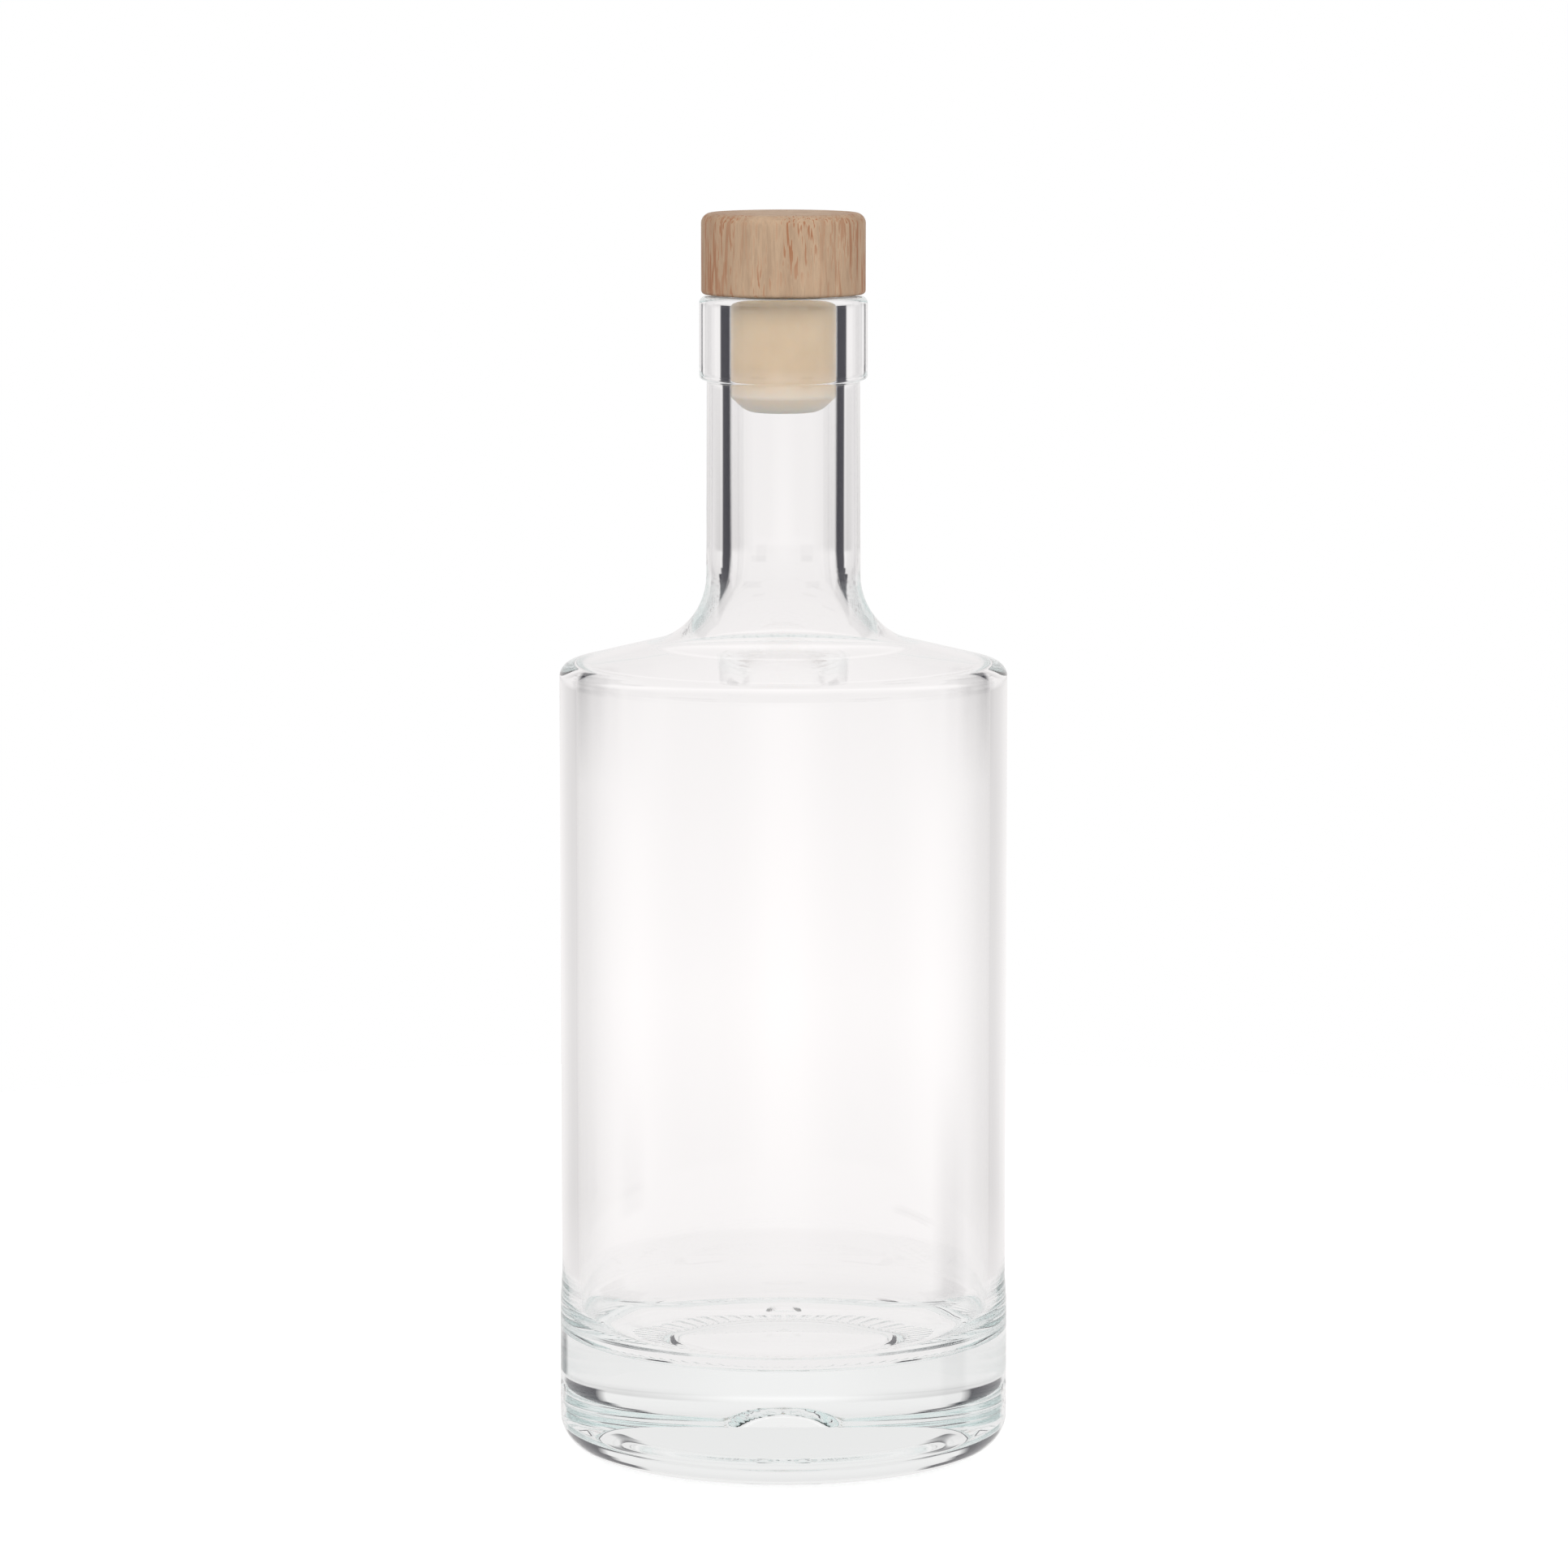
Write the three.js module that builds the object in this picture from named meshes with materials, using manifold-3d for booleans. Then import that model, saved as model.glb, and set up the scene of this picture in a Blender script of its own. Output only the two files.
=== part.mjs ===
// A clear glass bottle with a bar-top stopper: a turned beech head glued on a moulded plastic plug.
// Millimetres, +Z up. The bottle stands on z = 0, and its axis is the Z axis.
import * as THREE from "three";
import { mergeVertices } from "three/addons/utils/BufferGeometryUtils.js";
import Module from "manifold-3d";

// Glass body
const BODY_RADIUS = 39.2; // the base band, and the widest part
const BAND_HEIGHT = 26; // top of the base band
const BAND_STEP = 5; // height of the soft step from the band in to the side panel
const PANEL_RECESS = 0.3; // how far the side panel lies inside the band
const SHOULDER_HEIGHT = 138; // where the side would meet the shoulder's slope
const SHOULDER_SLOPE = 14; // degrees above the horizontal
const SHOULDER_FILLET = 2.6;
const SIDE_WALL = 2.9;
const SHOULDER_WALL = 1.7; // measured along the axis
const INNER_SHOULDER_FILLET = 2;

// Neck and mouth
const NECK_RADIUS = 13.4;
const NECK_TAPER = 0.15; // how much the neck narrows up to the mouth ring
const NECK_FILLET = 12; // hollow curve from the shoulder up into the neck
const RIM_HEIGHT = 202;
const MOUTH_RING_RADIUS = 14.55;
const MOUTH_RING_HEIGHT = 14.5;
const MOUTH_RING_FILLET = 1.2;
const BORE_RADIUS = 9.35;
const BORE_FILLET = 0.9;
const INNER_NECK_FILLET = 18; // the bore's flare into the shoulder

// Base
const BASE_THICKNESS = 16.6; // from the punt's middle up to the cavity's floor
const FLOOR_FILLET = 7; // inner corner between floor and side
const HEEL_FILLET = 5.5;
const RING_INNER_RADIUS = 22.8; // the flat ring that the bottle stands on
const RING_OUTER_RADIUS = 28.4;
const UNDERSIDE_RISE = 0.9; // from the ring's outer edge out to where the side would come down
const PUNT_DEPTH = 3.2;
const PUNT_SLOPE = 45; // degrees, just inside the ring
const PUNT_FILLET = 4;

// Locating notch in the back of the heel
const NOTCH_WIDTH = 7;
const NOTCH_HEIGHT = 3.6; // from the standing plane to the top of its dome
const NOTCH_DEPTH = 5; // how far it reaches in from the side

// Stopper
const SEAT_GAP = 0.3; // under the head, all round the rim
const HEAD_RADIUS = 14.2;
const HEAD_HEIGHT = 14;
const HEAD_TOP_FILLET = 1.8;
const HEAD_BOTTOM_FILLET = 0.7;
const PLUG_CLEARANCE = 0.25; // between plug and bore
const PLUG_LENGTH = 20; // below the rim
const PLUG_CHAMFER = 2.8; // round the end, at 45 degrees
const PLUG_END_FILLET = 4.2; // between the chamfer and the end face
const PLUG_SIDE_FILLET = 1; // between the chamfer and the shank
const TENON_RADIUS = 6.4;
const TENON_LENGTH = 7;
const TENON_FILLET = 0.8;
const GLUE_GAP = 0.3;

// Facets
const GLASS_SEGMENTS = 64;
const STOPPER_SEGMENTS = 40;
const NOTCH_SEGMENTS = 12;
const LARGE_ARC_STEPS = 6;
const SMALL_ARC_STEPS = 3;

const wasm = await Module();
wasm.setup();

function corner(radius, height, fillet = 0, steps = SMALL_ARC_STEPS) {
  return { point: new THREE.Vector2(radius, height), fillet, steps };
}

// The points of a profile, with an arc of the corner's own fillet in each corner that has one.
function rounded(corners) {
  const points = [];
  corners.forEach(({ point, fillet, steps }, i) => {
    if (!fillet) {
      points.push(point);
      return;
    }
    const back = corners[i - 1].point.clone().sub(point).normalize();
    const ahead = corners[i + 1].point.clone().sub(point).normalize();
    const halfAngle = Math.acos(THREE.MathUtils.clamp(back.dot(ahead), -1, 1)) / 2;
    const centre = back.clone().add(ahead).normalize().multiplyScalar(fillet / Math.sin(halfAngle)).add(point);
    const tangent = fillet / Math.tan(halfAngle);
    const first = back.multiplyScalar(tangent).add(point).sub(centre);
    const last = ahead.multiplyScalar(tangent).add(point).sub(centre);
    const turn = Math.atan2(first.cross(last), first.dot(last));
    for (let step = 0; step <= steps; step++) {
      points.push(first.clone().rotateAround(new THREE.Vector2(), (turn * step) / steps).add(centre));
    }
  });
  return points;
}

// A solid of revolution about the Z axis. Its profile runs up the outside and ends on the axis.
function revolve(corners, segments) {
  return new THREE.LatheGeometry(rounded(corners), segments).rotateX(Math.PI / 2);
}

function toSolid(geometry) {
  const bare = geometry.clone();
  bare.deleteAttribute("normal");
  bare.deleteAttribute("uv");
  const merged = mergeVertices(bare, 1e-4);
  return new wasm.Manifold(
    new wasm.Mesh({
      numProp: 3,
      vertProperties: new Float32Array(merged.attributes.position.array),
      triVerts: new Uint32Array(merged.index.array),
    }),
  );
}

function toGeometry(solid) {
  const mesh = solid.getMesh();
  const geometry = new THREE.BufferGeometry();
  geometry.setAttribute("position", new THREE.BufferAttribute(mesh.vertProperties, 3));
  geometry.setIndex(new THREE.BufferAttribute(mesh.triVerts, 1));
  geometry.computeVertexNormals();
  return geometry;
}

function glassOutside() {
  const panelRadius = BODY_RADIUS - PANEL_RECESS;
  const neckTopRadius = NECK_RADIUS - NECK_TAPER;
  const ringBottom = RIM_HEIGHT - MOUTH_RING_HEIGHT;
  const shoulderRise = (panelRadius - NECK_RADIUS) * Math.tan(THREE.MathUtils.degToRad(SHOULDER_SLOPE));
  const puntRun = PUNT_DEPTH / Math.tan(THREE.MathUtils.degToRad(PUNT_SLOPE));
  return [
    corner(0, PUNT_DEPTH),
    corner(RING_INNER_RADIUS - puntRun, PUNT_DEPTH, PUNT_FILLET),
    corner(RING_INNER_RADIUS, 0),
    corner(RING_OUTER_RADIUS, 0),
    corner(BODY_RADIUS, UNDERSIDE_RISE, HEEL_FILLET, LARGE_ARC_STEPS),
    corner(BODY_RADIUS, BAND_HEIGHT),
    corner(panelRadius, BAND_HEIGHT + BAND_STEP),
    corner(panelRadius, SHOULDER_HEIGHT, SHOULDER_FILLET),
    corner(NECK_RADIUS, SHOULDER_HEIGHT + shoulderRise, NECK_FILLET, LARGE_ARC_STEPS),
    corner(neckTopRadius, ringBottom),
    corner(MOUTH_RING_RADIUS, ringBottom, MOUTH_RING_FILLET),
    corner(MOUTH_RING_RADIUS, RIM_HEIGHT, MOUTH_RING_FILLET),
  ];
}

function glassInside() {
  const innerRadius = BODY_RADIUS - PANEL_RECESS - SIDE_WALL;
  const slope = Math.tan(THREE.MathUtils.degToRad(SHOULDER_SLOPE));
  const innerShoulder = SHOULDER_HEIGHT + SIDE_WALL * slope - SHOULDER_WALL;
  const floor = PUNT_DEPTH + BASE_THICKNESS;
  return [
    corner(BORE_RADIUS, RIM_HEIGHT, BORE_FILLET),
    corner(BORE_RADIUS, innerShoulder + (innerRadius - BORE_RADIUS) * slope, INNER_NECK_FILLET, LARGE_ARC_STEPS),
    corner(innerRadius, innerShoulder, INNER_SHOULDER_FILLET, LARGE_ARC_STEPS),
    corner(innerRadius, floor, FLOOR_FILLET, LARGE_ARC_STEPS),
    corner(0, floor),
  ];
}

// A dome-topped cutter that stands across the back of the heel.
function notchCutter() {
  const half = NOTCH_WIDTH / 2;
  const margin = 1;
  const outline = new THREE.Shape();
  outline.moveTo(half, -margin);
  outline.lineTo(half, 0);
  outline.absellipse(0, 0, half, NOTCH_HEIGHT, 0, Math.PI, false);
  outline.lineTo(-half, -margin);
  const cutter = new THREE.ExtrudeGeometry(outline, {
    depth: NOTCH_DEPTH + margin,
    bevelEnabled: false,
    curveSegments: NOTCH_SEGMENTS,
  });
  return cutter.rotateX(Math.PI / 2).translate(0, BODY_RADIUS + margin, 0);
}

function glassGeometry() {
  const blown = toSolid(revolve([...glassOutside(), ...glassInside()], GLASS_SEGMENTS));
  return toGeometry(blown.subtract(toSolid(notchCutter())));
}

// The turned head, with the blind hole that the plug's tenon is glued into.
function headGeometry() {
  const bottom = RIM_HEIGHT + SEAT_GAP;
  const holeRadius = TENON_RADIUS + GLUE_GAP;
  const holeTop = bottom + TENON_LENGTH + GLUE_GAP;
  return revolve(
    [
      corner(0, holeTop),
      corner(holeRadius, holeTop),
      corner(holeRadius, bottom),
      corner(HEAD_RADIUS, bottom, HEAD_BOTTOM_FILLET),
      corner(HEAD_RADIUS, bottom + HEAD_HEIGHT, HEAD_TOP_FILLET, LARGE_ARC_STEPS),
      corner(0, bottom + HEAD_HEIGHT),
    ],
    STOPPER_SEGMENTS,
  );
}

// The plug: a tenon in the head, and a shank down the bore with a chamfered and rounded end.
function plugGeometry() {
  const shankRadius = BORE_RADIUS - PLUG_CLEARANCE;
  const shankTop = RIM_HEIGHT + SEAT_GAP - GLUE_GAP;
  const plugEnd = RIM_HEIGHT - PLUG_LENGTH;
  return revolve(
    [
      corner(0, plugEnd),
      corner(shankRadius - PLUG_CHAMFER, plugEnd, PLUG_END_FILLET),
      corner(shankRadius, plugEnd + PLUG_CHAMFER, PLUG_SIDE_FILLET),
      corner(shankRadius, shankTop),
      corner(TENON_RADIUS, shankTop),
      corner(TENON_RADIUS, RIM_HEIGHT + SEAT_GAP + TENON_LENGTH, TENON_FILLET),
      corner(0, RIM_HEIGHT + SEAT_GAP + TENON_LENGTH),
    ],
    STOPPER_SEGMENTS,
  );
}

function piece(name, geometry, material) {
  const mesh = new THREE.Mesh(geometry, new THREE.MeshStandardMaterial(material));
  mesh.name = name;
  return mesh;
}

const bottle = new THREE.Group();
bottle.add(
  piece("glass_bottle", glassGeometry(), {
    color: 0xe6efee,
    roughness: 0.02,
    metalness: 0,
    transparent: true,
    opacity: 0.35,
  }),
  piece("stopper_head", headGeometry(), { color: 0xc9a27c, roughness: 0.6, metalness: 0 }),
  piece("stopper_plug", plugGeometry(), { color: 0xb9a794, roughness: 0.45, metalness: 0 }),
);

export default bottle;
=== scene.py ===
import math

import bpy
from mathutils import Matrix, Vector, noise


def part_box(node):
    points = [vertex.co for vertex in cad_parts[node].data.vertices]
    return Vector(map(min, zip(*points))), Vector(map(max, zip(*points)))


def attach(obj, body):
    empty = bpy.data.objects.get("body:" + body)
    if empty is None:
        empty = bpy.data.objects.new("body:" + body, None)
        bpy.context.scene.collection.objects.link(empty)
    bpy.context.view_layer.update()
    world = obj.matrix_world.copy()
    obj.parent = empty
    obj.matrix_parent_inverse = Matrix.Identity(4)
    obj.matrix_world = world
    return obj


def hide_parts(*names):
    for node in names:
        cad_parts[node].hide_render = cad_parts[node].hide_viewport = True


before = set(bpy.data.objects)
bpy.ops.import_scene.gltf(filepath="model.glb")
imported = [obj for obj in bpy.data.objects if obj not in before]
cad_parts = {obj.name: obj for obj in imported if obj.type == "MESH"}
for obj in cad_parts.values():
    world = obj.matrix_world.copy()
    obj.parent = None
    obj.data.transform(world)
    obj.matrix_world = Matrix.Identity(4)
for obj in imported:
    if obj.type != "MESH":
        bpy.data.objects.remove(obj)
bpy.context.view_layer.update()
MM = 0.001

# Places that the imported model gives
_, GLASS_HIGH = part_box("glass_bottle")
HEAD_LOW, HEAD_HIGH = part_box("stopper_head")
PLUG_LOW, PLUG_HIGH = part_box("stopper_plug")
BODY_RADIUS = GLASS_HIGH.x
RIM = GLASS_HIGH.z

# Glass outside
BAND_HEIGHT = 26 * MM
BAND_STEP = 5 * MM
BAND_FILLET = 20 * MM
PANEL_RECESS = 0.3 * MM
PANEL_RADIUS = BODY_RADIUS - PANEL_RECESS
SHOULDER_HEIGHT = 138 * MM
SHOULDER_SLOPE = math.tan(math.radians(14))
SHOULDER_FILLET = 2.6 * MM
NECK_RADIUS = 13.4 * MM
NECK_TAPER = 0.15 * MM
NECK_FILLET = 12 * MM
MOUTH_RING_RADIUS = 14.55 * MM
MOUTH_RING_HEIGHT = 14.5 * MM
MOUTH_RING_TOP_FILLET = 1.2 * MM
MOUTH_RING_BOTTOM_FILLET = 0.85 * MM
MOUTH_RING_ROOT_FILLET = 0.4 * MM

# Base: a shallow punt inside a knurled standing ring, and a notch in the back of the heel
HEEL_FILLET = 5.5 * MM
UNDERSIDE_RISE = 0.9 * MM
RING_INNER = 22.8 * MM
RING_OUTER = 28.4 * MM
RING_INNER_FILLET = 0.6 * MM
RING_TOUCH = 0.05 * MM  # the outside is part of the standing ring where it lies lower than this
PUNT_DEPTH = 3.2 * MM
PUNT_TOP_RADIUS = RING_INNER - PUNT_DEPTH  # the wall round the punt rises at 45 degrees
PUNT_FILLET = 4 * MM
KNURLS = 60
KNURL_DEPTH = 0.9 * MM
KNURL_RUN_OUT = 1 * MM  # the width along each edge of the ring where the knurls die away
NOTCH_HALF_WIDTH = 3.5 * MM
NOTCH_HEIGHT = 3.6 * MM
NOTCH_DEPTH = 5 * MM
NOTCH_BACK_RADIUS = BODY_RADIUS - NOTCH_DEPTH
NOTCH_WALL_START = 0.88  # its wall rises between these shares of its size
NOTCH_WALL_END = 1.02

# Glass inside
PLUG_CLEARANCE = 0.25 * MM
BORE_RADIUS = PLUG_HIGH.x + PLUG_CLEARANCE
BORE_FILLET = 0.9 * MM
INNER_NECK_FILLET = 18 * MM
SIDE_WALL = 2.9 * MM
SHOULDER_WALL = 1.7 * MM  # measured along the axis
INNER_RADIUS = PANEL_RADIUS - SIDE_WALL
INNER_SHOULDER = SHOULDER_HEIGHT + SIDE_WALL * SHOULDER_SLOPE - SHOULDER_WALL
INNER_SHOULDER_FILLET = 2 * MM
BASE_THICKNESS = 16.6 * MM
CAVITY_FLOOR = PUNT_DEPTH + BASE_THICKNESS
CAVITY_FLOOR_FILLET = 7 * MM

# The slight waves of the inside: the noise's scale round the axis and per metre up, and where the waves end
WAVE_HEIGHT = 0.03 * MM
WAVE_SCALE_ROUND = 2.2
WAVE_SCALE_UP = 60
WAVE_TOP = RIM - 25 * MM
WAVE_FADE_RADIUS = 8 * MM

# Stopper
HEAD_TOP_FILLET = 1.8 * MM
HEAD_BOTTOM_FILLET = 0.7 * MM
GLUE_GAP = 0.3 * MM
TENON_RADIUS = 6.4 * MM
TENON_FILLET = 0.8 * MM
HOLE_RADIUS = TENON_RADIUS + GLUE_GAP
PLUG_SHOULDER = HEAD_LOW.z - GLUE_GAP
PLUG_SHOULDER_FILLET = 0.3 * MM
PLUG_END_CHAMFER = 2.8 * MM
PLUG_END_FILLET = 4.2 * MM
PLUG_SIDE_FILLET = 1 * MM

# Fineness of the meshes
GLASS_SEGMENTS = 420
BACK_CROWDING = 0.45  # how much closer together the segments of the glass lie at the notch
TURNED_SEGMENTS = 160
ARC_STEPS = 12
GLASS_SPAN = 9 * MM  # the longest stretch between two points of a straight part of a profile
TURNED_SPAN = 3 * MM
SPAN_MARGIN = 0.7 * MM
SHORTEST_FILLED = 3 * SPAN_MARGIN
ON_AXIS = 1e-9

# Clear glass
GLASS_IOR = 1.52
GLASS_TINT = (0.45, 0.8, 0.78, 1)
GLASS_TINT_DENSITY = 1.2
GLASS_SHADOW = (0.98, 0.985, 0.985, 1)

# Beech: the broad streaks, the factors of the fine ones, the painted shade that the left and right sides turn
# to, and the flecks
BEECH_DARK = (0.372, 0.25, 0.16)
BEECH_PALE = (0.445, 0.312, 0.205)
FINE_STREAK_DARK = (0.86, 0.85, 0.84)
FINE_STREAK_PALE = (1.1, 1.1, 1.1)
BEECH_PAINTED_SIDE_SHADE = (0.18, 0.07, 0.02)
FLECK_COLOUR = (0.27, 0.09, 0.028)
FLECK_STRENGTH = 0.85
BEECH_ROUGHNESS = 0.6
GRAIN_STRENGTH = 0.25
GRAIN_DEPTH = 0.2 * MM

# Plug plastic: its clouds, and the painted light that makes its end paler
PLUG_DARK = (0.725, 0.57, 0.388)
PLUG_PALE = (0.775, 0.62, 0.435)
PLUG_CLOUD_SCALE = 220
PLUG_END_PAINTED_LIGHT = (0.98, 0.89, 0.80)
PLUG_PAINTED_LIGHT_REACH = 8 * MM
PLUG_ROUGHNESS = 0.42
PLUG_SCATTER = (1.0, 0.8, 0.6)
PLUG_SCATTER_DEPTH = 5 * MM

# The dark panels of the studio, each by its bearing from +Y towards +X and its lift above the horizon:
# the middle and half the width, then the lowest and highest lift, in degrees, and how dark it is
DARK = (0.002, 0.002, 0.014)
PAIRED_PANELS = (  # one at each side, at the bearing given and at the same bearing the other way
    (57, 14, -6.6, 12, 1),
    (54, 15, 10, 18, 1),
    (48, 17, 17, 42, 1),
    (90, 12, -7, -2, 0.3),
)
SINGLE_PANELS = (
    (-132, 14, -2.4, 5, 1),
    (135, 11, -2.4, 5, 1),
    (81.5, 9, -13, -10.5, 1),
    (-101, 13, -25, -19, 1),
)
BEARING_SOFTNESS = 5.0
LIFT_SOFTNESS = 1.5

# The white backdrop: how bright it is at each lift, in degrees
BACKDROP_TINT = (1.0, 0.974, 0.972)
BACKDROP_LEVELS = (
    (-40, 0.88), (-26, 0.915), (-13, 0.915), (-11.8, 0.94), (-10.8, 0.975), (-9.2, 1.03),
    (-7, 0.98), (-4.5, 0.91), (6, 0.89), (16, 0.84), (30, 0.86),
)

# What the backdrop loses in a band round one lift, at each bearing from the nearest of the four sides
CORNER_SHADE = ((0, 0.0), (8, 0.02), (20, 0.17), (32, 0.26), (45, 0.26))
CORNER_SHADE_LIFT = -8.2
CORNER_SHADE_HALF_HEIGHT = 3.6
CORNER_SHADE_SOFTNESS = 2.0

# Light and ground: what lights a dull surface, what the camera sees behind the bottle, and the disc under it
ROOM_LIGHT = (0.8, 0.8, 0.8)
WHITE = (1.0, 1.0, 1.0)
GROUND_RADIUS = 0.4
GROUND_SEGMENTS = 96
GROUND_DROP = 0.02 * MM
GROUND_COLOUR = (0.85, 0.85, 0.85, 1)
GROUND_GLOW = 0.45
LAMP_WIDTH = 0.9
LAMP_AIM = (0, 0, 0.1)
KEY_LAMP_PLACE = (-0.7, -1.0, 1.0)
KEY_LAMP_POWER = 9
FILL_LAMP_PLACE = (0.9, -0.7, 0.6)
FILL_LAMP_POWER = 5

# Camera, fitted to the outline of the bottle, and the bounces that the glass needs
CAMERA_PLACE = (0.0001, -1.1633, 0.2661)
CAMERA_TILT = 7.3  # degrees below the horizon
CAMERA_LENS = 154.66
SENSOR_WIDTH = 36
GLASS_BOUNCES = 96
TRANSPARENT_BOUNCES = 32
DIFFUSE_BOUNCES = 4

# The sockets that a Mix node uses for colours
MIX_FACTOR, MIX_A, MIX_B = 0, 6, 7
MIX_RESULT = 2


def smooth(low, high, x):
    """0 below low, 1 above high, and an even curve between them."""
    t = min(max((x - low) / (high - low), 0.0), 1.0)
    return t * t * (3 - 2 * t)


def corner(radius, height, fillet=0.0, steps=ARC_STEPS):
    return Vector((radius, height)), fillet, steps


def rounded(corners):
    """The points of a profile, with an arc of the corner's own fillet in each corner that has one."""
    points = []
    for i, (point, fillet, steps) in enumerate(corners):
        if not fillet:
            points.append(point)
            continue
        back = (corners[i - 1][0] - point).normalized()
        ahead = (corners[i + 1][0] - point).normalized()
        half_angle = back.angle(ahead) / 2
        centre = point + (back + ahead).normalized() * (fillet / math.sin(half_angle))
        tangent = fillet / math.tan(half_angle)
        first = point + back * tangent - centre
        last = point + ahead * tangent - centre
        start = math.atan2(first.y, first.x)
        turn = math.atan2(first.x * last.y - first.y * last.x, first.dot(last))
        for step in range(steps + 1):
            angle = start + turn * step / steps
            points.append(centre + fillet * Vector((math.cos(angle), math.sin(angle))))
    return points


def with_spans(points, longest):
    """Adds points along the straight stretches: a row, and one close to each end for true shading."""
    filled = []
    for a, b in zip(points, points[1:]):
        filled.append(a)
        length = (b - a).length
        if length < SHORTEST_FILLED:
            continue
        along = (b - a) / length
        inner = length - 2 * SPAN_MARGIN
        count = max(1, math.ceil(inner / longest))
        filled += [a + along * (SPAN_MARGIN + inner * i / count) for i in range(count + 1)]
    filled.append(points[-1])
    return filled


def lathe(name, profile, angles, place):
    """A closed surface round Z, from a profile that starts and ends on the axis. place sets each point."""
    vertices, rings, faces = [], [], []
    for index, point in enumerate(profile):
        if point.x < ON_AXIS:
            rings.append([len(vertices)] * len(angles))
            vertices.append((0, 0, point.y))
            continue
        rings.append(list(range(len(vertices), len(vertices) + len(angles))))
        vertices += [place(point.x, point.y, angle, index) for angle in angles]
    for low, high in zip(rings, rings[1:]):
        for i in range(len(angles)):
            j = (i + 1) % len(angles)
            around = [low[i], low[j], high[j], high[i]]
            faces.append(tuple(dict.fromkeys(around)))
    mesh = bpy.data.meshes.new(name)
    mesh.from_pydata(vertices, [], faces)
    mesh.validate()
    mesh.shade_smooth()
    piece = bpy.data.objects.new(name, mesh)
    bpy.context.scene.collection.objects.link(piece)
    return piece


def even_angles(count):
    return [2 * math.pi * i / count for i in range(count)]


def angles_dense_at_back(count):
    """Angles round the axis that lie closer together towards +Y, where the notch is."""
    return [math.pi / 2 + t - BACK_CROWDING * math.sin(t) for t in even_angles(count)]


def on_circle(radius, height, angle, _index):
    return radius * math.cos(angle), radius * math.sin(angle), height


def glass_outside():
    shoulder_top = SHOULDER_HEIGHT + (PANEL_RADIUS - NECK_RADIUS) * SHOULDER_SLOPE
    ring_bottom = RIM - MOUTH_RING_HEIGHT
    return [
        corner(0, PUNT_DEPTH),
        corner(PUNT_TOP_RADIUS, PUNT_DEPTH, PUNT_FILLET),
        corner(RING_INNER, 0, RING_INNER_FILLET, steps=4),
        corner(RING_OUTER, 0),
        corner(BODY_RADIUS, UNDERSIDE_RISE, HEEL_FILLET, steps=20),
        corner(BODY_RADIUS, BAND_HEIGHT, BAND_FILLET, steps=4),
        corner(PANEL_RADIUS, BAND_HEIGHT + BAND_STEP, BAND_FILLET, steps=4),
        corner(PANEL_RADIUS, SHOULDER_HEIGHT, SHOULDER_FILLET),
        corner(NECK_RADIUS, shoulder_top, NECK_FILLET),
        corner(NECK_RADIUS - NECK_TAPER, ring_bottom, MOUTH_RING_ROOT_FILLET, steps=5),
        corner(MOUTH_RING_RADIUS, ring_bottom, MOUTH_RING_BOTTOM_FILLET, steps=8),
        corner(MOUTH_RING_RADIUS, RIM, MOUTH_RING_TOP_FILLET, steps=10),
    ]


def glass_inside():
    inner_neck = INNER_SHOULDER + (INNER_RADIUS - BORE_RADIUS) * SHOULDER_SLOPE
    return [
        corner(BORE_RADIUS, RIM, BORE_FILLET, steps=8),
        corner(BORE_RADIUS, inner_neck, INNER_NECK_FILLET),
        corner(INNER_RADIUS, INNER_SHOULDER, INNER_SHOULDER_FILLET),
        corner(INNER_RADIUS, CAVITY_FLOOR, CAVITY_FLOOR_FILLET, steps=16),
        corner(0, CAVITY_FLOOR),
    ]


def knurl(radius, angle):
    """How far a knurl lifts the underside of the standing ring."""
    from_edge = min(radius - RING_INNER, RING_OUTER - radius)
    groove = (1 - math.cos(KNURLS * angle)) / 2
    return KNURL_DEPTH * groove**2 * smooth(0, KNURL_RUN_OUT, from_edge)


def notch_share(x, height):
    """1 inside the dome-shaped notch in the back of the heel, 0 outside it."""
    reach = math.hypot(x / NOTCH_HALF_WIDTH, height / NOTCH_HEIGHT)
    return 1 - smooth(NOTCH_WALL_START, NOTCH_WALL_END, reach)


def wave(x, y, radius, height):
    """How far the inside stands out at a place. x and y give its direction from the axis."""
    at = Vector((x * WAVE_SCALE_ROUND, y * WAVE_SCALE_ROUND, height * WAVE_SCALE_UP))
    return WAVE_HEIGHT * noise.noise(at) * smooth(0, WAVE_FADE_RADIUS, radius)


def make_glass():
    profile = with_spans(rounded(glass_outside() + glass_inside()), GLASS_SPAN)
    rim_index = max(range(len(profile)), key=lambda i: profile[i].y)

    def place(radius, height, angle, index):
        x, y = math.cos(angle), math.sin(angle)
        if index <= rim_index:
            if RING_INNER <= radius <= RING_OUTER and height < RING_TOUCH:
                height += knurl(radius, angle)
            if y > 0 and radius > NOTCH_BACK_RADIUS:
                radius -= (radius - NOTCH_BACK_RADIUS) * notch_share(radius * x, height)
        elif height < WAVE_TOP:
            radius += wave(x, y, radius, height)
        return radius * x, radius * y, height

    glass = lathe("glass_shell", profile, angles_dense_at_back(GLASS_SEGMENTS), place)
    glass.data.materials.append(glass_material())
    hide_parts("glass_bottle")
    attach(glass, "bottle")


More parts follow.
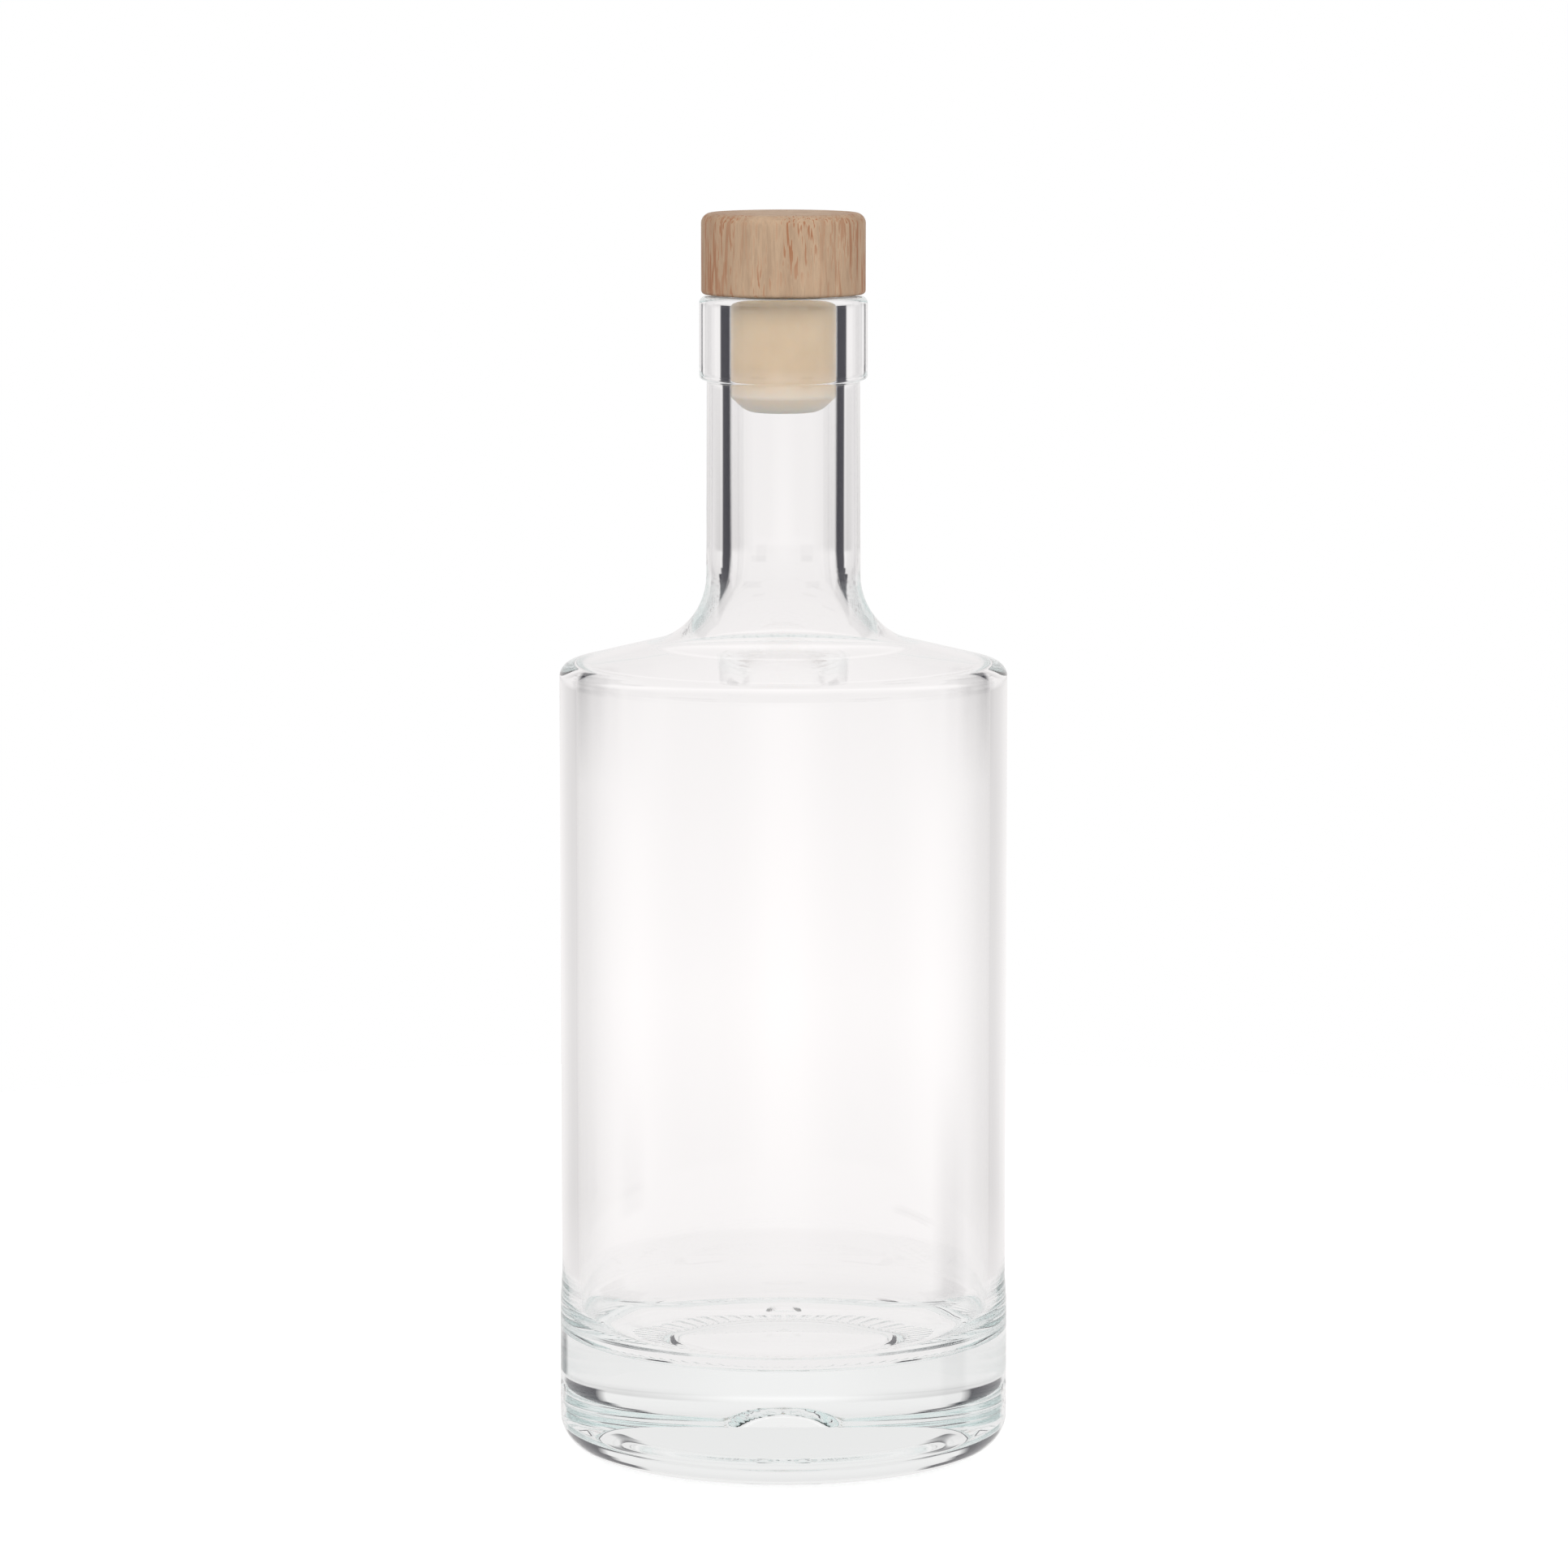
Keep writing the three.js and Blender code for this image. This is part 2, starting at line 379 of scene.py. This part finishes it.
def make_head():
    """The turned head, with the blind hole for the tenon of the plug."""
    radius, bottom, top = HEAD_HIGH.x, HEAD_LOW.z, HEAD_HIGH.z
    hole_top = PLUG_HIGH.z + GLUE_GAP
    corners = [
        corner(0, hole_top),
        corner(HOLE_RADIUS, hole_top),
        corner(HOLE_RADIUS, bottom),
        corner(radius, bottom, HEAD_BOTTOM_FILLET, steps=6),
        corner(radius, top, HEAD_TOP_FILLET),
        corner(0, top),
    ]
    profile = with_spans(rounded(corners), TURNED_SPAN)
    head = lathe("head_wood", profile, even_angles(TURNED_SEGMENTS), on_circle)
    head.data.materials.append(beech_material())
    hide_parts("stopper_head")
    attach(head, "stopper")


def make_plug():
    """The plug: a shank with a chamfered and rounded end, and a tenon on its top."""
    radius, end, top = PLUG_HIGH.x, PLUG_LOW.z, PLUG_HIGH.z
    corners = [
        corner(0, end),
        corner(radius - PLUG_END_CHAMFER, end, PLUG_END_FILLET, steps=8),
        corner(radius, end + PLUG_END_CHAMFER, PLUG_SIDE_FILLET, steps=6),
        corner(radius, PLUG_SHOULDER, PLUG_SHOULDER_FILLET, steps=4),
        corner(TENON_RADIUS, PLUG_SHOULDER),
        corner(TENON_RADIUS, top, TENON_FILLET, steps=6),
        corner(0, top),
    ]
    profile = with_spans(rounded(corners), TURNED_SPAN)
    plug = lathe("plug_moulding", profile, even_angles(TURNED_SEGMENTS), on_circle)
    plug.data.materials.append(plug_material())
    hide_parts("stopper_plug")
    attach(plug, "stopper")


def node_material(name):
    """A new material with its node tree, its surface shader and its output."""
    material = bpy.data.materials.new(name)
    material.use_nodes = True
    tree = material.node_tree
    return material, tree, tree.nodes["Principled BSDF"], tree.nodes["Material Output"]


def add_node(tree, kind, inputs=None, **settings):
    """A new node with its settings, and its inputs given as values or as sockets to link."""
    node = tree.nodes.new(kind)
    for name, value in settings.items():
        setattr(node, name, value)
    for name, value in (inputs or {}).items():
        if isinstance(value, bpy.types.NodeSocket):
            tree.links.new(value, node.inputs[name])
        else:
            node.inputs[name].default_value = value
    return node


def maths(tree, operation, *values):
    return add_node(tree, "ShaderNodeMath", dict(enumerate(values)), operation=operation).outputs[0]


def share_between(tree, value, start, end):
    """0 where the value is at the start or before it, 1 from the end on, and even between them."""
    inputs = {"Value": value, "From Min": start, "From Max": end}
    return add_node(tree, "ShaderNodeMapRange", inputs).outputs[0]


def fades_out(tree, value, edge, softness, most=1.0):
    """The given most where the value is below the edge, 0 above it, and a soft change between them."""
    inputs = {
        "Value": value,
        "From Min": edge - softness / 2,
        "From Max": edge + softness / 2,
        "To Min": most,
        "To Max": 0.0,
    }
    return add_node(tree, "ShaderNodeMapRange", inputs).outputs[0]


def ramp(tree, factor, stops):
    """A colour ramp, from stops of place and colour."""
    node = add_node(tree, "ShaderNodeValToRGB", {"Fac": factor})
    elements = node.color_ramp.elements
    while len(elements) < len(stops):
        elements.new(0.5)
    for element, (position, colour) in zip(elements, stops):
        element.position = position
        element.color = (*colour, 1)
    return node.outputs["Color"]


def levels(tree, factor, stops):
    """A ramp of plain numbers, from stops of place and level."""
    return ramp(tree, factor, [(place, (level,) * 3) for place, level in stops])


def mix_colour(tree, factor, a, b, blend="MIX"):
    """The mix of two colours, each given as a tuple or as a socket to link."""
    a, b = (value if isinstance(value, bpy.types.NodeSocket) else (*value, 1) for value in (a, b))
    inputs = {MIX_FACTOR: factor, MIX_A: a, MIX_B: b}
    node = add_node(tree, "ShaderNodeMix", inputs, data_type="RGBA", blend_type=blend)
    return node.outputs[MIX_RESULT]


def glass_material():
    """Clear glass that tints long paths towards teal, and lets lamps through to what is behind it."""
    material, tree, surface, output = node_material("clear_glass")
    surface.inputs["Base Color"].default_value = (1, 1, 1, 1)
    surface.inputs["Roughness"].default_value = 0
    surface.inputs["IOR"].default_value = GLASS_IOR
    surface.inputs["Transmission Weight"].default_value = 1
    in_shadow = add_node(tree, "ShaderNodeLightPath").outputs["Is Shadow Ray"]
    clear = add_node(tree, "ShaderNodeBsdfTransparent", {"Color": GLASS_SHADOW})
    both = add_node(tree, "ShaderNodeMixShader", {0: in_shadow, 1: surface.outputs[0], 2: clear.outputs[0]})
    tree.links.new(both.outputs[0], output.inputs["Surface"])
    tint = add_node(tree, "ShaderNodeVolumeAbsorption", {"Color": GLASS_TINT, "Density": GLASS_TINT_DENSITY})
    tree.links.new(tint.outputs[0], output.inputs["Volume"])
    return material


def beech_material():
    """Sanded bare beech with upright grain: fine streaks, rusty flecks that are long at the sides, and
    painted shade that darkens its left side more than its right.
    """
    material, tree, surface, _ = node_material("beech")
    place = add_node(tree, "ShaderNodeTexCoord").outputs["Object"]

    def streaks(stretch, scale, detail):
        squeezed = add_node(tree, "ShaderNodeMapping", {"Vector": place, "Scale": (1, 1, stretch)}).outputs[0]
        inputs = {"Vector": squeezed, "Scale": scale, "Detail": detail}
        return add_node(tree, "ShaderNodeTexNoise", inputs).outputs["Fac"]

    broad = ramp(tree, streaks(stretch=0.1, scale=420, detail=5), [(0.35, BEECH_DARK), (0.65, BEECH_PALE)])
    fine_streaks = streaks(stretch=0.1, scale=2600, detail=3)
    fine = ramp(tree, fine_streaks, [(0.3, FINE_STREAK_DARK), (0.7, FINE_STREAK_PALE)])
    colour = mix_colour(tree, 1, broad, fine, blend="MULTIPLY")

    across = add_node(tree, "ShaderNodeSeparateXYZ", {0: place}).outputs[0]
    across = share_between(tree, across, -HEAD_HIGH.x, HEAD_HIGH.x)
    # Painted shade: the left and right sides of the head are darkened in its colour, the left more than the
    # right.
    painted_side_shade = levels(tree, across, [(0, 0.27), (0.3, 0), (0.7, 0), (1, 0.14)])
    colour = mix_colour(tree, painted_side_shade, colour, BEECH_PAINTED_SIDE_SHADE)

    dashes = levels(tree, streaks(stretch=0.1, scale=2600, detail=1), [(0.57, 0), (0.63, 1)])
    patches = levels(tree, streaks(stretch=0.3, scale=150, detail=2), [(0.46, 0.12), (0.62, 0.9)])
    long_dashes = levels(tree, streaks(stretch=0.07, scale=1500, detail=2), [(0.54, 0), (0.6, 1)])
    sides = levels(tree, across, [(0, 1), (0.36, 0), (0.64, 0), (1, 1)])
    in_patches = maths(tree, "MULTIPLY", dashes, patches)
    at_sides = maths(tree, "MULTIPLY", long_dashes, sides)
    flecks = maths(tree, "MULTIPLY", maths(tree, "MAXIMUM", in_patches, at_sides), FLECK_STRENGTH)
    colour = mix_colour(tree, flecks, colour, FLECK_COLOUR)
    tree.links.new(colour, surface.inputs["Base Color"])

    surface.inputs["Roughness"].default_value = BEECH_ROUGHNESS
    grain = streaks(stretch=0.08, scale=2200, detail=3)
    inputs = {"Height": grain, "Strength": GRAIN_STRENGTH, "Distance": GRAIN_DEPTH}
    bump = add_node(tree, "ShaderNodeBump", inputs)
    tree.links.new(bump.outputs[0], surface.inputs["Normal"])
    return material


def plug_material():
    """Smooth beige plastic, a little translucent, clouded as mouldings are, with painted light that makes it
    paler towards its end.
    """
    material, tree, surface, _ = node_material("plug_plastic")
    place = add_node(tree, "ShaderNodeTexCoord").outputs["Object"]
    clouds = add_node(tree, "ShaderNodeTexNoise", {"Vector": place, "Scale": PLUG_CLOUD_SCALE, "Detail": 3})
    colour = ramp(tree, clouds.outputs["Fac"], [(0.3, PLUG_DARK), (0.7, PLUG_PALE)])
    height = add_node(tree, "ShaderNodeSeparateXYZ", {0: place}).outputs[2]
    # Painted light: the last few millimetres of the plug are made paler in its colour.
    painted_light_near_end = share_between(tree, height, PLUG_LOW.z + PLUG_PAINTED_LIGHT_REACH, PLUG_LOW.z)
    colour = mix_colour(tree, painted_light_near_end, colour, PLUG_END_PAINTED_LIGHT)
    tree.links.new(colour, surface.inputs["Base Color"])
    surface.inputs["Roughness"].default_value = PLUG_ROUGHNESS
    surface.inputs["Subsurface Weight"].default_value = 1.0
    surface.inputs["Subsurface Radius"].default_value = PLUG_SCATTER
    surface.inputs["Subsurface Scale"].default_value = PLUG_SCATTER_DEPTH
    return material


def angle_from(tree, angle, middle, turn=None):
    """How far an angle is from the middle, which comes round again each turn where one is given."""
    off = maths(tree, "SUBTRACT", angle, middle)
    if turn:
        off = maths(tree, "WRAP", off, turn / 2, -turn / 2)
    return maths(tree, "ABSOLUTE", off)


def level_at(tree, angle, stops):
    """The level at an angle, from stops of angle and level."""
    lowest, highest = stops[0][0], stops[-1][0]
    share = share_between(tree, angle, lowest, highest)
    return levels(tree, share, [((at - lowest) / (highest - lowest), level) for at, level in stops])


def dark_panels(tree, bearing, lift):
    """How dark the panels are in a direction, from 0 to 1."""
    mirrored = [(-middle, *rest) for middle, *rest in PAIRED_PANELS]
    total = 0.0
    for middle, half_width, low, high, darkness in (*PAIRED_PANELS, *mirrored, *SINGLE_PANELS):
        off_side = angle_from(tree, bearing, middle, turn=360)
        off_height = angle_from(tree, lift, (low + high) / 2)
        in_width = fades_out(tree, off_side, half_width, BEARING_SOFTNESS, darkness)
        in_height = fades_out(tree, off_height, (high - low) / 2, LIFT_SOFTNESS)
        total = maths(tree, "MAXIMUM", total, maths(tree, "MULTIPLY", in_width, in_height))
    return total


def surroundings(tree, direction):
    """The colour of the white room with its dark panels, seen in a direction."""
    split = add_node(tree, "ShaderNodeSeparateXYZ", {0: direction}).outputs
    bearing = maths(tree, "DEGREES", maths(tree, "ARCTAN2", split[0], split[1]))
    lift = maths(tree, "DEGREES", maths(tree, "ARCSINE", split[2]))
    off_band = angle_from(tree, lift, CORNER_SHADE_LIFT)
    in_band = fades_out(tree, off_band, CORNER_SHADE_HALF_HEIGHT, CORNER_SHADE_SOFTNESS)
    shade = level_at(tree, angle_from(tree, bearing, 0, turn=90), CORNER_SHADE)
    kept = maths(tree, "SUBTRACT", 1.0, maths(tree, "MULTIPLY", in_band, shade))
    level = maths(tree, "MULTIPLY", level_at(tree, lift, BACKDROP_LEVELS), kept)
    inputs = {0: BACKDROP_TINT, "Scale": level}
    backdrop = add_node(tree, "ShaderNodeVectorMath", inputs, operation="SCALE").outputs[0]
    return mix_colour(tree, dark_panels(tree, bearing, lift), backdrop, DARK)


def seen_in_glass(tree, light_path):
    """1 for a ray that glass or a glossy surface sends on, 0 for any other."""
    return maths(tree, "MAXIMUM", light_path["Is Glossy Ray"], light_path["Is Transmission Ray"])


def make_world():
    """The room: what glass and gloss show, a plain light for dull surfaces, and white behind the bottle."""
    world = bpy.data.worlds.new("studio")
    bpy.context.scene.world = world
    world.use_nodes = True
    world.cycles.sampling_method = "NONE"
    tree = world.node_tree
    direction = add_node(tree, "ShaderNodeTexCoord").outputs["Generated"]
    light_path = add_node(tree, "ShaderNodeLightPath").outputs
    plain = mix_colour(tree, light_path["Is Camera Ray"], ROOM_LIGHT, WHITE)
    colour = mix_colour(tree, seen_in_glass(tree, light_path), plain, surroundings(tree, direction))
    tree.links.new(colour, tree.nodes["Background"].inputs["Color"])


def make_floor():
    """A white disc that keeps the bottle's soft shadow, and that glass doesn't show."""
    bpy.ops.mesh.primitive_circle_add(
        vertices=GROUND_SEGMENTS, radius=GROUND_RADIUS, fill_type="NGON", location=(0, 0, -GROUND_DROP),
    )
    floor = bpy.context.object
    floor.name = "floor"
    material, tree, surface, output = node_material("floor_white")
    surface.inputs["Base Color"].default_value = GROUND_COLOUR
    surface.inputs["Roughness"].default_value = 1
    light_path = add_node(tree, "ShaderNodeLightPath").outputs
    strength = maths(tree, "MULTIPLY", light_path["Is Camera Ray"], GROUND_GLOW)
    glow = add_node(tree, "ShaderNodeEmission", {"Color": (*WHITE, 1), "Strength": strength})
    plain = add_node(tree, "ShaderNodeAddShader", {0: surface.outputs[0], 1: glow.outputs[0]})
    unseen = add_node(tree, "ShaderNodeBsdfTransparent")
    inputs = {0: seen_in_glass(tree, light_path), 1: plain.outputs[0], 2: unseen.outputs[0]}
    both = add_node(tree, "ShaderNodeMixShader", inputs)
    tree.links.new(both.outputs[0], output.inputs["Surface"])
    floor.data.materials.append(material)


def make_lamp(name, place, power):
    """A square lamp that points at the bottle and shows in nothing."""
    lamp = bpy.data.lights.new(name, "AREA")
    lamp.size = LAMP_WIDTH
    lamp.energy = power
    body = bpy.data.objects.new(name, lamp)
    bpy.context.scene.collection.objects.link(body)
    body.location = place
    body.rotation_euler = (Vector(LAMP_AIM) - Vector(place)).to_track_quat("-Z", "Y").to_euler()
    body.visible_camera = body.visible_glossy = body.visible_transmission = False


def make_camera():
    camera_data = bpy.data.cameras.new("camera")
    camera_data.sensor_width = SENSOR_WIDTH
    camera_data.lens = CAMERA_LENS
    camera = bpy.data.objects.new("camera", camera_data)
    bpy.context.scene.collection.objects.link(camera)
    camera.location = CAMERA_PLACE
    camera.rotation_euler = (math.radians(90 - CAMERA_TILT), 0, 0)
    bpy.context.scene.camera = camera


def set_render():
    scene = bpy.context.scene
    scene.view_settings.view_transform = "Standard"
    scene.cycles.max_bounces = GLASS_BOUNCES
    scene.cycles.transmission_bounces = GLASS_BOUNCES
    scene.cycles.glossy_bounces = GLASS_BOUNCES
    scene.cycles.transparent_max_bounces = TRANSPARENT_BOUNCES
    scene.cycles.diffuse_bounces = DIFFUSE_BOUNCES


make_glass()
make_head()
make_plug()
make_world()
make_floor()
make_lamp("key_lamp", KEY_LAMP_PLACE, KEY_LAMP_POWER)
make_lamp("fill_lamp", FILL_LAMP_PLACE, FILL_LAMP_POWER)
make_camera()
set_render()
